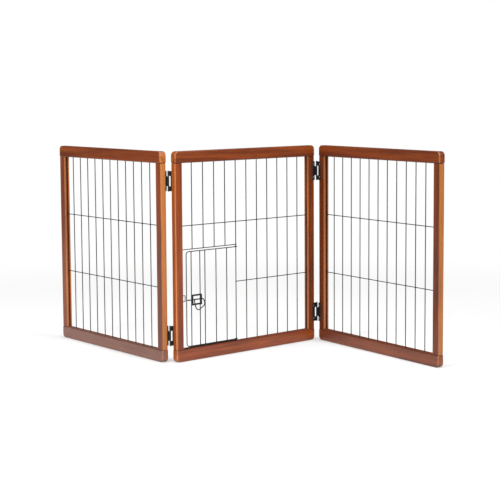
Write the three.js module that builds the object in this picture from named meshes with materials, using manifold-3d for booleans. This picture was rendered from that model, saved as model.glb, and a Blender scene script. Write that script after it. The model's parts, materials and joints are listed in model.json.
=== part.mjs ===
// Three-panel folding pet gate: stained wooden frames, black wire grids, a small wire pet door
// with a slide latch, and barrel hinges between the panels.
// Millimetres, +Z up. The origin is on the floor under the middle panel's mid-plane centre.
// The middle panel lies in the XZ plane, its front faces -Y, and the side panels fold about
// hinge pins that stand just off its back (left joint) and its front (right joint).
import * as THREE from "three";
import { mergeVertices } from "three/addons/utils/BufferGeometryUtils.js";
import Module from "manifold-3d";

const wasm = await Module();
wasm.setup();

// ---- Driving dimensions ----
const PANEL_W = 541; // width of one panel
const PANEL_H = 610; // height of the gate
const STILE_W = 26.5;
const STILE_D = 19; // depth of a stile, across the panel
const RAIL_D = 21; // rails stand a little proud of the stiles
const TOP_RAIL_H = 34;
const BOTTOM_RAIL_H = 36;
const CORNER_R = 12; // rounded outer corners of the rails, in the panel's plane
const RAIL_EDGE_R = 3;
const STILE_EDGE_R = 3.5;
const JOINT_GAP = 0.3; // glue line between rail and stile
const GROOVE_W = 5.5; // groove that holds the wire grid
const GROOVE_D = 5;

const WIRE_COUNT = 11;
const WIRE_END_GAP = 39; // from a stile to the axis of the nearest upright wire
const UPRIGHT_R = 1.4; // upright wires
const CROSS_R = 1.3; // cross wires, welded to the back of the uprights
const UPRIGHT_Y = -0.9;
const CROSS_Y = 1.0;
const MIDDLE_DROP = 2; // the middle grid sits this much lower than the side grids

const LEFT_FOLD = 90.5; // degrees away from flat
const RIGHT_FOLD = 94.8;
const HINGE_REACH = 7.5; // from a panel's end to the pin axis
const KNUCKLE_R = 2.5;
const KNUCKLE_BORE_R = 1.5;
const PIN_R = 1.2;
const HINGE_H = 58;
const KNUCKLE_GAP = 0.4;
const LEAF_T = 1.6;
const LEAF_ON_FACE = 9;
const LEAF_LIFT = 0.2; // leaf's clearance over the wood
const SCREW_PITCH = 40;
const LEFT_HINGE_Z = [77, PANEL_H - 85];
const RIGHT_HINGE_Z = [88, PANEL_H - 79];

const JAMB_INDEX = -1; // the upright that the pet door hangs on, counted from the middle one
const HEADER_Z = 325;
const SILL_R = 1.3;
const DOOR_TOP_Z = 318.8;
const DOOR_SILL_GAP = 1.0; // between the sill wire and the door's bottom wire
const DOOR_EDGE_GAP = 14.5; // from the stile to the axis of the door's free upright
const WIRES_FROM_EDGE = [18, 50, 68.5]; // door wires, from the axis of its free upright
const WIRES_FROM_JAMB = [78.5, 38]; // door wires, from the jamb
const DOOR_CORNER_R = 9;
const DOOR_R = 1.4;
const EYE_OUT_R = 4.4;
const EYE_IN_R = 1.7;
const JAMB_OVERRUN = 4; // header and sill run this far past the jamb

const LATCH_Z = 178;
const BOLT_R = 1.9;
const BOLT_Y = -9.5;
const BOLT_TIP_CLEAR = 0.7; // bolt's tip to the keeper's bar, with the latch open
const GUIDE_Z = [161, 192.7];
const GUIDE_BAR_H = 5;
const GUIDE_T = 2.1;
const LUG_T = 2;
const LUG_Y = -12.1;
const LOOP_R = 1.6;
const KEEPER_R = 1.2;
const KEEPER_Z = [175.1, 192.4];
const KEEPER_REACH = 8; // from the stile's face to the axis of the keeper's bar

// ---- Values that follow ----
const HALF_W = PANEL_W / 2;
const INNER_X = HALF_W - STILE_W;
const OPEN_LOW = BOTTOM_RAIL_H;
const OPEN_HIGH = PANEL_H - TOP_RAIL_H;
const THIRD = (OPEN_HIGH - OPEN_LOW) / 3;
const PIN_OFF = STILE_D / 2 + KNUCKLE_R;
const WIRE_PITCH = (2 * (INNER_X - WIRE_END_GAP)) / (WIRE_COUNT - 1);
const JAMB_X = JAMB_INDEX * WIRE_PITCH;
const SILL_Z = BOTTOM_RAIL_H + 0.4 + SILL_R;
const DOOR_BOTTOM_Z = SILL_Z + SILL_R + DOOR_SILL_GAP + DOOR_R;
const DOOR_Y = UPRIGHT_Y - (EYE_OUT_R + EYE_IN_R) / 2;
const DOOR_EDGE_X = -INNER_X + DOOR_EDGE_GAP;
const DOOR_WIRES = [
  ...WIRES_FROM_EDGE.map((gap) => DOOR_EDGE_X + gap),
  ...WIRES_FROM_JAMB.map((gap) => JAMB_X - gap),
];
const GUIDE_Y = DOOR_Y - DOOR_R - 0.3;
const KEEPER_BAR_X = -INNER_X + KEEPER_REACH;
const BOLT_TIP_X = KEEPER_BAR_X + KEEPER_R + BOLT_TIP_CLEAR;

const material = (color, roughness, metalness) =>
  new THREE.MeshStandardMaterial({ color, roughness, metalness });
const looks = {
  wood: () => material(0x8a4420, 0.35, 0),
  wire: () => material(0x161617, 0.45, 0.6),
  steel: () => material(0x1b1b1c, 0.4, 0.7),
  screw: () => material(0x6f7072, 0.35, 0.9),
};

// ---- Solids ----
function solid(geometry) {
  const bare = geometry.index ? geometry.toNonIndexed() : geometry.clone();
  bare.deleteAttribute("normal");
  bare.deleteAttribute("uv");
  const merged = mergeVertices(bare, 1e-4);
  return new wasm.Manifold(
    new wasm.Mesh({
      numProp: 3,
      vertProperties: merged.attributes.position.array,
      triVerts: new Uint32Array(merged.index.array),
    }),
  );
}

function geometryOf(manifold) {
  const mesh = manifold.getMesh();
  const geometry = new THREE.BufferGeometry();
  geometry.setAttribute("position", new THREE.BufferAttribute(mesh.vertProperties, 3));
  geometry.setIndex(new THREE.BufferAttribute(mesh.triVerts, 1));
  const flat = geometry.toNonIndexed();
  flat.computeVertexNormals();
  return flat;
}

const join = (parts) => parts.reduce((all, part) => all.add(part));

// A round bar between two points.
function bar(from, to, radius, sides = 8) {
  const a = new THREE.Vector3(...from);
  const b = new THREE.Vector3(...to);
  const geometry = new THREE.CylinderGeometry(radius, radius, a.distanceTo(b), sides);
  const along = b.clone().sub(a).normalize();
  geometry.applyQuaternion(new THREE.Quaternion().setFromUnitVectors(new THREE.Vector3(0, 1, 0), along));
  geometry.translate((a.x + b.x) / 2, (a.y + b.y) / 2, (a.z + b.z) / 2);
  return solid(geometry);
}

// Bars through a list of points, each run on a little past its bends so that they close.
function bentWire(points, radius, overrun = 0.4 * radius) {
  const parts = [];
  for (let i = 0; i + 1 < points.length; i++) {
    const a = new THREE.Vector3(...points[i]);
    const b = new THREE.Vector3(...points[i + 1]);
    const along = b.clone().sub(a).setLength(overrun);
    if (i > 0) a.sub(along);
    if (i + 2 < points.length) b.add(along);
    parts.push(bar(a.toArray(), b.toArray(), radius));
  }
  return join(parts);
}

function box(low, high) {
  const size = low.map((v, i) => high[i] - v);
  const geometry = new THREE.BoxGeometry(...size);
  geometry.translate(...low.map((v, i) => v + size[i] / 2));
  return solid(geometry);
}

// A rail: its outline with two rounded outer corners, all long edges rounded, grooved inside.
function railGeometry(height, outerUp) {
  const x = HALF_W;
  const r = CORNER_R;
  const outline = new THREE.Shape();
  outline.moveTo(-x, 0);
  outline.lineTo(x, 0);
  outline.lineTo(x, height - r);
  outline.absarc(x - r, height - r, r, 0, Math.PI / 2, false);
  outline.lineTo(-x + r, height);
  outline.absarc(-x + r, height - r, r, Math.PI / 2, Math.PI, false);
  outline.closePath();
  const geometry = new THREE.ExtrudeGeometry(outline, {
    depth: RAIL_D - 2 * RAIL_EDGE_R,
    curveSegments: 4,
    bevelEnabled: true,
    bevelThickness: RAIL_EDGE_R,
    bevelSize: RAIL_EDGE_R,
    bevelOffset: -RAIL_EDGE_R,
    bevelSegments: 2,
  });
  geometry.translate(0, 0, RAIL_EDGE_R - RAIL_D / 2);
  geometry.rotateX(Math.PI / 2);
  const groove = box(
    [-INNER_X + 2, -GROOVE_W / 2, -1],
    [INNER_X - 2, GROOVE_W / 2, GROOVE_D],
  );
  const made = geometryOf(solid(geometry).subtract(groove));
  if (!outerUp) made.rotateY(Math.PI);
  return made;
}

// A stile: a rounded section with the wire groove in the side that faces the opening (+X).
function stileGeometry(length) {
  const w = STILE_W / 2;
  const d = STILE_D / 2;
  const r = STILE_EDGE_R;
  const g = GROOVE_W / 2;
  const section = new THREE.Shape();
  section.moveTo(-w + r, -d);
  section.lineTo(w - r, -d);
  section.absarc(w - r, -d + r, r, -Math.PI / 2, 0, false);
  section.lineTo(w, -g);
  section.lineTo(w - GROOVE_D, -g);
  section.lineTo(w - GROOVE_D, g);
  section.lineTo(w, g);
  section.absarc(w - r, d - r, r, 0, Math.PI / 2, false);
  section.lineTo(-w + r, d);
  section.absarc(-w + r, d - r, r, Math.PI / 2, Math.PI, false);
  section.absarc(-w + r, -d + r, r, Math.PI, 1.5 * Math.PI, false);
  return new THREE.ExtrudeGeometry(section, { depth: length, curveSegments: 4, bevelEnabled: false });
}

function mesh(group, name, geometry, look, position = [0, 0, 0]) {
  const made = new THREE.Mesh(geometry, looks[look]());
  made.name = name;
  made.position.set(...position);
  group.add(made);
  return made;
}

// The four wooden members of one panel.
function frame(group, name) {
  mesh(group, `${name}_top_rail`, railGeometry(TOP_RAIL_H, true), "wood", [0, 0, OPEN_HIGH]);
  mesh(group, `${name}_bottom_rail`, railGeometry(BOTTOM_RAIL_H, false), "wood", [0, 0, OPEN_LOW]);
  const length = OPEN_HIGH - OPEN_LOW - 2 * JOINT_GAP;
  for (const [side, sign] of [["left", -1], ["right", 1]]) {
    const geometry = stileGeometry(length);
    if (sign > 0) geometry.rotateZ(Math.PI);
    const x = sign * (HALF_W - STILE_W / 2);
    mesh(group, `${name}_${side}_stile`, geometry, "wood", [x, 0, OPEN_LOW + JOINT_GAP]);
  }
}

const upright = (x, low, high) => bar([x, UPRIGHT_Y, low], [x, UPRIGHT_Y, high], UPRIGHT_R);
const cross = (z, from, to, r = CROSS_R, y = CROSS_Y) => bar([from, y, z], [to, y, z], r);
const TUCK = GROOVE_D - 0.8; // how far a wire's end goes into a groove

// A plain grid of uprights and two cross wires at the thirds of the opening.
function sideGrid() {
  const parts = [];
  const half = (WIRE_COUNT - 1) / 2;
  for (let i = -half; i <= half; i++)
    parts.push(upright(i * WIRE_PITCH, OPEN_LOW - TUCK, OPEN_HIGH + TUCK));
  for (const z of [OPEN_LOW + THIRD, OPEN_LOW + 2 * THIRD])
    parts.push(cross(z, -INNER_X - TUCK, INNER_X + TUCK));
  return geometryOf(join(parts));
}

// The middle grid leaves a doorway at its lower left, under a header wire.
function middleGrid() {
  const parts = [];
  const half = (WIRE_COUNT - 1) / 2;
  for (let i = -half; i <= half; i++) {
    const low = i < JAMB_INDEX ? HEADER_Z : OPEN_LOW - TUCK;
    parts.push(upright(i * WIRE_PITCH, low, OPEN_HIGH + TUCK));
  }
  const edge = -INNER_X - TUCK;
  const end = JAMB_X + JAMB_OVERRUN;
  parts.push(cross(OPEN_LOW + 2 * THIRD - MIDDLE_DROP, edge, INNER_X + TUCK));
  parts.push(cross(OPEN_LOW + THIRD - MIDDLE_DROP, JAMB_X, INNER_X + TUCK));
  parts.push(cross(HEADER_Z, edge, end));
  parts.push(cross(SILL_Z, edge, end, SILL_R, 0));
  return geometryOf(join(parts));
}

// The pet door: a bent outer wire, upright wires, and two eyes round the jamb wire.
function petDoor() {
  const y = DOOR_Y;
  const [x, low, high, r] = [DOOR_EDGE_X, DOOR_BOTTOM_Z, DOOR_TOP_Z, DOOR_CORNER_R];
  const points = [[JAMB_X, y, high]];
  for (const angle of [90, 120, 150, 180])
    points.push(onArc(x + r, high - r, r, angle, y));
  for (const angle of [180, 210, 240, 270])
    points.push(onArc(x + r, low + r, r, angle, y));
  points.push([JAMB_X, y, low]);
  const parts = [bentWire(points, DOOR_R)];
  for (const wireX of DOOR_WIRES) parts.push(bar([wireX, y, low], [wireX, y, high], DOOR_R));
  let door = join(parts);
  for (const z of [low, high]) {
    const rod = (radius, h) => bar([JAMB_X, UPRIGHT_Y, z - h], [JAMB_X, UPRIGHT_Y, z + h], radius, 16);
    door = door.add(rod(EYE_OUT_R, DOOR_R)).subtract(rod(EYE_IN_R, 3 * DOOR_R));
  }
  return geometryOf(door);
}

function onArc(cx, cz, r, degrees, y) {
  const a = (degrees * Math.PI) / 180;
  return [cx + r * Math.cos(a), y, cz + r * Math.sin(a)];
}

// The latch's guide: a flat frame on two door wires, its sides turned out and pierced.
function latchGuide() {
  const [low, high] = GUIDE_Z;
  const left = DOOR_WIRES[0] - LUG_T / 2;
  const right = DOOR_WIRES[1] + LUG_T / 2;
  const parts = [
    box([left, GUIDE_Y - GUIDE_T, low], [right, GUIDE_Y, low + GUIDE_BAR_H]),
    box([left, GUIDE_Y - GUIDE_T, high - GUIDE_BAR_H], [right, GUIDE_Y, high]),
    box([left, LUG_Y, low], [left + LUG_T, GUIDE_Y, high]),
    box([right - LUG_T, LUG_Y, low], [right, GUIDE_Y, high]),
  ];
  const hole = bar([left - 5, BOLT_Y, LATCH_Z], [right + 5, BOLT_Y, LATCH_Z], BOLT_R + 0.4, 16);
  return geometryOf(join(parts).subtract(hole));
}

// The bolt: a rod through the guide that bends round into a finger loop under it.
function latchBolt() {
  const y = BOLT_Y;
  const rodEnd = DOOR_WIRES[1] + LUG_T / 2 + 4.1;
  const rod = bar([BOLT_TIP_X, y, LATCH_Z], [rodEnd, y, LATCH_Z], BOLT_R, 12);
  const loop = [
    [0, 0],
    [6.1, -9],
    [7.4, -18.5],
    [-3.2, -25.7],
    [-12.6, -31],
    [-16.1, -31.7],
    [-20.1, -30],
    [-24.4, -25],
    [-28.6, -15],
    [-30.6, 0],
  ].map(([dx, dz]) => [rodEnd + dx, y, LATCH_Z + dz]);
  return geometryOf(rod.add(bentWire(loop, LOOP_R)));
}

// The keeper: a wire staple on the stile. The bolt slides in front of its upright bar.
function latchKeeper() {
  const y = GUIDE_Y;
  const face = -INNER_X + JOINT_GAP;
  const [low, high] = KEEPER_Z;
  return geometryOf(
    bentWire(
      [[face, y, low], [KEEPER_BAR_X, y, low], [KEEPER_BAR_X, y, high], [face, y, high]],
      KEEPER_R,
      KEEPER_R,
    ),
  );
}

// A hinge leaf about the pin axis: it reaches towards +X, its wood at -Y. It has either the
// knuckles at the two ends or the one in the middle, and two screw holes.
function leafGeometry(outer) {
  const half = HINGE_H / 2;
  const quarter = HINGE_H / 4;
  const low = -KNUCKLE_R + LEAF_LIFT;
  const spans = outer
    ? [[-half, -quarter - KNUCKLE_GAP / 2], [quarter + KNUCKLE_GAP / 2, half]]
    : [[-quarter + KNUCKLE_GAP / 2, quarter - KNUCKLE_GAP / 2]];
  const parts = [box([HINGE_REACH - 0.5, low, -half], [HINGE_REACH + LEAF_ON_FACE, low + LEAF_T, half])];
  for (const [from, to] of spans) {
    parts.push(box([0, low, from], [HINGE_REACH, low + LEAF_T, to]));
    parts.push(bar([0, 0, from], [0, 0, to], KNUCKLE_R, 12));
  }
  let leaf = join(parts).subtract(bar([0, 0, -half - 1], [0, 0, half + 1], KNUCKLE_BORE_R, 12));
  for (const z of [-SCREW_PITCH / 2, SCREW_PITCH / 2]) {
    const x = HINGE_REACH + LEAF_ON_FACE / 2;
    leaf = leaf.subtract(bar([x, low - 1, z], [x, low + LEAF_T + 1, z], 1.5, 8));
  }
  return geometryOf(leaf);
}

function pinGeometry() {
  const half = HINGE_H / 2;
  const profile = [
    [0, -half - 0.8],
    [PIN_R, -half - 0.8],
    [PIN_R, half + 0.3],
    [2.1, half + 0.3],
    [1.9, half + 1.1],
    [0, half + 1.5],
  ].map(([r, z]) => new THREE.Vector2(r, z));
  const geometry = new THREE.LatheGeometry(profile, 12);
  geometry.rotateX(Math.PI / 2);
  return geometry;
}

// A domed screw whose axis is Y, its head towards +Y, seated on the leaf.
function screwGeometry() {
  const seat = -KNUCKLE_R + LEAF_LIFT + LEAF_T + 0.1;
  const profile = [
    [0, -KNUCKLE_R + 0.25],
    [1.15, -KNUCKLE_R + 0.25],
    [1.15, seat],
    [2.7, seat],
    [2.2, seat + 0.6],
    [0, seat + 0.95],
  ].map(([r, y]) => new THREE.Vector2(r, y));
  return new THREE.LatheGeometry(profile, 8);
}

// One leaf with its two screws. turn is how the leaf is turned about the pin: "x" puts its wood
// at +Y, "y" makes it reach towards -X, "z" does both.
function leafSet(group, name, outer, turn, pin, z) {
  const place = (geometry, x, dz) => {
    geometry.translate(x, 0, dz);
    if (turn === "x") geometry.rotateX(Math.PI);
    if (turn === "y") geometry.rotateY(Math.PI);
    if (turn === "z") geometry.rotateZ(Math.PI);
    return geometry;
  };
  const at = [pin[0], pin[1], z];
  mesh(group, `${name}_leaf`, place(leafGeometry(outer), 0, 0), "steel", at);
  const x = HINGE_REACH + LEAF_ON_FACE / 2;
  for (const [end, sign] of [["lower", -1], ["upper", 1]]) {
    const dz = (sign * SCREW_PITCH) / 2;
    mesh(group, `${name}_${end}_screw`, place(screwGeometry(), x, dz), "screw", at);
  }
}

// ---- Assembly ----
const gate = new THREE.Group();

const middle = new THREE.Group();
gate.add(middle);
frame(middle, "middle");
mesh(middle, "middle_grid", middleGrid(), "wire");
mesh(middle, "pet_door", petDoor(), "wire");
mesh(middle, "latch_guide", latchGuide(), "steel");
mesh(middle, "latch_bolt", latchBolt(), "steel");
mesh(middle, "latch_keeper", latchKeeper(), "wire");

// A side panel hangs on a pivot group at its pin and is turned by its fold angle.
function sidePanel(name, side, fold) {
  const pivot = new THREE.Group();
  pivot.position.set(side * (HALF_W + HINGE_REACH), -side * PIN_OFF, 0);
  pivot.rotation.z = (-fold * Math.PI) / 180;
  gate.add(pivot);
  const panel = new THREE.Group();
  panel.position.set(side * (HALF_W + HINGE_REACH), side * PIN_OFF, 0);
  pivot.add(panel);
  frame(panel, name);
  mesh(panel, `${name}_grid`, sideGrid(), "wire");
  return pivot;
}

const left = sidePanel("left", -1, LEFT_FOLD);
const right = sidePanel("right", 1, RIGHT_FOLD);

function hinge(name, side, pivot, z, middleOuter) {
  const pin = [side * (HALF_W + HINGE_REACH), -side * PIN_OFF];
  leafSet(middle, `${name}_fixed`, middleOuter, side < 0 ? "" : "z", pin, z);
  leafSet(pivot, `${name}_moving`, !middleOuter, side < 0 ? "y" : "x", [0, 0], z);
  mesh(middle, `${name}_pin`, pinGeometry(), "steel", [...pin, z]);
}

hinge("left_lower_hinge", -1, left, LEFT_HINGE_Z[0], true);
hinge("left_upper_hinge", -1, left, LEFT_HINGE_Z[1], true);
hinge("right_lower_hinge", 1, right, RIGHT_HINGE_Z[0], true);
hinge("right_upper_hinge", 1, right, RIGHT_HINGE_Z[1], false);

export default gate;
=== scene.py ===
"""Looks of the folding pet gate: stained wooden frames, coated wire grids, a small wire door
with its slide latch, and the black barrel hinges. Sizes are in millimetres until a mesh is made."""

import json
import math

import bpy
import numpy as np
from mathutils import Matrix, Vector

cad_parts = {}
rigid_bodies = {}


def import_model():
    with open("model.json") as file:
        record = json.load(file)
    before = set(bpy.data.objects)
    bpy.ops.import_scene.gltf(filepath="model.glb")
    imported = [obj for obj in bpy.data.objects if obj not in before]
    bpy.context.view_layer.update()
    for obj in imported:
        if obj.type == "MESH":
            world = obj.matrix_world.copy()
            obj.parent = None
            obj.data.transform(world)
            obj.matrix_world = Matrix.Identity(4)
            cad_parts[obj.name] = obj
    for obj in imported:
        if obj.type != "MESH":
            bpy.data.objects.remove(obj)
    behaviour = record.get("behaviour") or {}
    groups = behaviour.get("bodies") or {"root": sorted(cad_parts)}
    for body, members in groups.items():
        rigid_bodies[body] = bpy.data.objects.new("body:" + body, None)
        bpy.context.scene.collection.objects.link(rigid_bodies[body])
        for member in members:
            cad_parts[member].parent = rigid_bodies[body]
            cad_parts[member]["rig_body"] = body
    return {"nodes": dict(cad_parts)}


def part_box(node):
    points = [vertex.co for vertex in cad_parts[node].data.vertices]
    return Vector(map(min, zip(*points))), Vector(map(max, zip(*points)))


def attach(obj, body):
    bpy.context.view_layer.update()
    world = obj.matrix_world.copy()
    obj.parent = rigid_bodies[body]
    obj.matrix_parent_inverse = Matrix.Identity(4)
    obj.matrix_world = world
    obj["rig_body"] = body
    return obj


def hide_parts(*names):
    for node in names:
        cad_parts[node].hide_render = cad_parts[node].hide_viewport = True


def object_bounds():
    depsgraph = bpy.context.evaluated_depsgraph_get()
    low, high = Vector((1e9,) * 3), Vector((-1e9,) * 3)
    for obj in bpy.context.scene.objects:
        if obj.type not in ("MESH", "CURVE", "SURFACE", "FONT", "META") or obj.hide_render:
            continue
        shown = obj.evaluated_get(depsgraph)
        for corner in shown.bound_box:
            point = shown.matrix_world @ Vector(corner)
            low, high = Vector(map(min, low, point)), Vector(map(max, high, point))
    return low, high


bl_info = {
    "name": "Folding pet gate",
    "version": (1, 0, 0),
    "blender": (4, 5, 0),
    "location": "View3D > Sidebar > Pet gate",
    "description": "Builds the shaped and finished pieces of a three-panel folding pet gate",
    "category": "Add Mesh",
}

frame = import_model()
CAD_BOX = [list(corner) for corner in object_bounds()]
MM = 0.001


def node_size(node):
    """Width, depth and height of a CAD node, in millimetres."""
    low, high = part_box(node)
    return [round((b - a) / MM, 2) for a, b in zip(low, high)]


RAIL_SIZE = node_size("middle_top_rail")
BOTTOM_RAIL_SIZE = node_size("middle_bottom_rail")
STILE_SIZE = node_size("middle_left_stile")


def length(name, default, description):
    return bpy.props.FloatProperty(
        name=name, description=description + ", in millimetres", default=default, min=0.01)


def colour(name, default, description):
    return bpy.props.FloatVectorProperty(
        name=name, description=description, default=default, subtype="COLOR", size=3,
        min=0.0, max=1.0)


def turn(name, default, description):
    return bpy.props.FloatProperty(
        name=name, description=description, default=math.radians(default),
        subtype="ANGLE", unit="ROTATION")


class GateFrameSizes(bpy.types.PropertyGroup):
    """Sizes of the wooden frames."""
    panel_width: length("Panel width", RAIL_SIZE[0], "Width of one panel")
    panel_height: length("Panel height", round(CAD_BOX[1][2] / MM, 2), "Height of a panel")
    stile_width: length("Stile width", STILE_SIZE[0], "Face width of an upright member")
    stile_depth: length("Stile depth", STILE_SIZE[1], "Depth of an upright member")
    rail_depth: length("Rail depth", RAIL_SIZE[1], "Depth of a top or bottom rail")
    top_rail: length("Top rail", RAIL_SIZE[2], "Height of a top rail")
    bottom_rail: length("Bottom rail", BOTTOM_RAIL_SIZE[2], "Height of a bottom rail")
    rail_corner: length("Rail corner", 12.0, "Radius of a rail's outer corners")
    inner_corner: length("Inner corner", 4.0, "Radius of a rail's corners beside the stiles")
    rail_edge: length("Rail edge", 3.0, "Radius along a rail's edges")
    stile_edge: length("Stile edge", 3.5, "Radius along a stile's edges")
    glue_line: length("Glue line", 0.3, "Gap between a stile and a rail")
    groove_width: length("Groove width", 5.5, "Width of the groove that holds the wires")
    groove_depth: length("Groove depth", 5.0, "Depth of the groove that holds the wires")
    left_fold: turn("Left fold", 90.5, "How far the left panel is folded from flat")
    right_fold: turn("Right fold", 94.8, "How far the right panel is folded from flat")


class GateWireSizes(bpy.types.PropertyGroup):
    """Sizes of the wire grids and the pet door."""
    pitch: length("Pitch", 41.0, "Distance between upright wires")
    upright_radius: length("Upright radius", 1.4, "Radius of an upright wire")
    cross_radius: length("Cross radius", 1.3, "Radius of a cross wire")
    sill_radius: length("Sill radius", 1.3, "Radius of the sill wire under the door")
    tuck: length("Tuck", 4.2, "How far a wire's end goes into a groove")
    middle_drop: length("Middle drop", 2.0, "How much lower the middle cross wires are")
    header: length("Header", 325.0, "Height of the wire over the doorway")
    door_top: length("Door top", 318.8, "Height of the door's top wire")
    door_corner: length("Door corner", 9.0, "Bend radius of the door's free corners")
    door_edge: length("Door edge", 14.5, "From the stile to the door's free upright")
    eye_radius: length("Eye radius", 3.05, "Radius, at the wire's middle, of the eyes on the jamb")


class GateHardwareSizes(bpy.types.PropertyGroup):
    """Sizes of the hinges and the latch."""
    hinge_reach: length("Hinge reach", 7.5, "From a panel's end to the pin's axis")
    hinge_height: length("Hinge height", 58.0, "Height of a hinge")
    knuckle_radius: length("Knuckle radius", 2.5, "Outer radius of a knuckle")
    knuckle_bore: length("Knuckle bore", 1.5, "Radius of a knuckle's bore")
    pin_radius: length("Pin radius", 1.2, "Radius of a hinge pin")
    leaf_thickness: length("Leaf thickness", 1.6, "Thickness of a hinge leaf")
    leaf_width: length("Leaf width", 9.0, "Width of a leaf on the wood")
    screw_pitch: length("Screw pitch", 40.0, "Distance between a leaf's two screws")
    latch_height: length("Latch height", 178.0, "Height of the bolt's axis")
    bolt_radius: length("Bolt radius", 1.9, "Radius of the bolt's rod")
    loop_radius: length("Loop radius", 1.6, "Radius of the finger loop's wire")
    keeper_radius: length("Keeper radius", 1.2, "Radius of the keeper's wire")


class GateFinish(bpy.types.PropertyGroup):
    """Colours of the finishes."""
    stain_deep: colour("Deep stain", (0.125, 0.0195, 0.0022), "Stain in the dark grain")
    stain_light: colour("Light stain", (0.265, 0.050, 0.0050), "Stain on the light grain")
    # Edge stain: the colour of side grain and worn edges, which also stands in for a painted
    # highlight on them.
    edge_stain_and_highlight: colour("Edge stain", (0.58, 0.195, 0.042), "Stain on side grain and worn edges")
    coating: colour("Wire coating", (0.012, 0.013, 0.014), "Satin coating on the wires")
    black_steel: colour("Black steel", (0.014, 0.014, 0.014), "Hinges and latch")
    bare_steel: colour("Bare steel", (0.20, 0.20, 0.205), "Steel where the black is worn")
    # A grey painted reflection of the white floor, laid on the lower rails.
    film: colour("Grey film", (0.150, 0.132, 0.125), "Dull film left on the lower rails")
    floor: colour("Floor", (0.46, 0.46, 0.46), "The plain floor")


def frame_sizes():
    return bpy.context.scene.gate_frame


def wire_sizes():
    return bpy.context.scene.gate_wire


def hardware():
    return bpy.context.scene.gate_hardware


# ---- Where things are ----
def half_width():
    return frame_sizes().panel_width / 2


def inner_x():
    return half_width() - frame_sizes().stile_width


def opening():
    s = frame_sizes()
    return s.bottom_rail, s.panel_height - s.top_rail


def pin_offset():
    return frame_sizes().stile_depth / 2 + hardware().knuckle_radius


def on_pivot(points, side):
    """Points beside a side panel's pin, turned by its fold about the upright axis and moved to
    the pin: x' = x cos a - y sin a + px, y' = x sin a + y cos a + py."""
    if side == 0:
        return points
    s = frame_sizes()
    a = -(s.left_fold if side < 0 else s.right_fold)
    reach = half_width() + hardware().hinge_reach
    x, y, z = points[..., 0], points[..., 1], points[..., 2]
    return np.stack([
        x * math.cos(a) - y * math.sin(a) + side * reach,
        x * math.sin(a) + y * math.cos(a) - side * pin_offset(),
        z,
    ], axis=-1)


def on_panel(points, side):
    """Points in a panel's own frame, middle of its foot at the origin, placed as it stands."""
    if side == 0:
        return points
    reach = half_width() + hardware().hinge_reach
    return on_pivot(points + np.array([side * reach, side * pin_offset(), 0.0]), side)


# ---- Surfaces ----
class Shell:
    """One piece's closed surfaces, gathered patch by patch, with the marks its finish reads."""

    def __init__(self):
        self.points, self.faces, self.marks, self.count = [], [], [], 0

    def patch(self, points, ring=True, loop=False, **marks):
        """A grid of points (rows, columns, 3). Neighbouring points make four-sided faces. ring
        joins the last column to the first, loop the last row to the first; without loop the
        first and last rows are closed by a face. The whole is turned to face outwards, by the
        sign of its volume, which is a sixth of the sum of a . (b x c) over its triangles."""
        rows, columns = points.shape[:2]
        index = np.arange(rows * columns).reshape(rows, columns)
        across = np.concatenate([index, index[:, :1]], axis=1) if ring else index
        down = np.concatenate([across, across[:1]], axis=0) if loop else across
        quads = np.stack([down[:-1, :-1], down[1:, :-1], down[1:, 1:], down[:-1, 1:]], axis=-1)
        quads = quads.reshape(-1, 4)
        ends = [] if loop else [index[0], index[-1][::-1]]
        flat = points.reshape(-1, 3)
        middle = flat.mean(axis=0)
        fans = [quads[:, [0, 1, 2]], quads[:, [0, 2, 3]]]
        for end in ends:
            fans.append(np.stack([np.full(len(end) - 2, end[0]), end[1:-1], end[2:]], axis=-1))
        a, b, c = np.moveaxis((flat - middle)[np.concatenate(fans)], 1, 0)
        if np.einsum("ij,ij->", a, np.cross(b, c)) < 0:
            quads = quads[:, ::-1]
            ends = [end[::-1] for end in ends]
        self.faces += (quads + self.count).tolist() + [(end + self.count).tolist() for end in ends]
        self.points.append(flat)
        self.marks.append({
            key: np.broadcast_to(value, (rows, columns) + np.shape(value)[2:]).reshape(
                rows * columns, -1)
            for key, value in marks.items()
        })
        self.count += len(flat)

    def piece(self, name, node, look, smooth=35.0):
        """Makes the mesh, gives it its finish, and puts it in the place of its CAD node."""
        if node not in frame["nodes"]:
            raise RuntimeError(f"{name} has no CAD node {node}")
        mesh = bpy.data.meshes.new(name)
        mesh.from_pydata((np.concatenate(self.points) * MM).tolist(), [], self.faces)
        for key in self.marks[0]:
            values = np.concatenate([mark[key] for mark in self.marks])
            vector = values.shape[1] == 3
            kind = "FLOAT_VECTOR" if vector else "FLOAT"
            made = mesh.attributes.new(key, kind, "POINT")
            made.data.foreach_set("vector" if vector else "value",
                                  values.astype(np.float32).ravel())
        mesh.shade_smooth()
        mesh.set_sharp_from_angle(angle=math.radians(smooth))
        mesh.materials.append(look)
        made = bpy.data.objects.new(name, mesh)
        bpy.context.scene.collection.objects.link(made)
        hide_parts(node)
        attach(made, frame["nodes"][node]["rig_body"])
        return made


def outline(low, high, radii, steps=7, ease=0.5):
    """A closed outline with rounded corners, counter-clockwise from the lower right corner, and
    its outward directions. A corner is its centre plus its radius times (cos a, sin a) over a
    quarter turn, with one more point a little way along each side it meets."""
    places, normals = [], []
    for corner, radius in enumerate(radii):
        a = math.pi / 2 * (corner - 1 + np.linspace(0, 1, steps))
        normal = np.stack([np.cos(a), np.sin(a)], axis=-1)
        centre = np.array([
            high[0] - radius if corner in (0, 1) else low[0] + radius,
            high[1] - radius if corner in (1, 2) else low[1] + radius,
        ])
        along = np.stack([-normal[:, 1], normal[:, 0]], axis=-1)
        arc = centre + radius * normal
        places.append(np.concatenate([
            arc[:1] - ease * along[:1], arc, arc[-1:] + ease * along[-1:]]))
        normals.append(np.concatenate([normal[:1], normal, normal[-1:]]))
    return np.concatenate(places), np.concatenate(normals)


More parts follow.
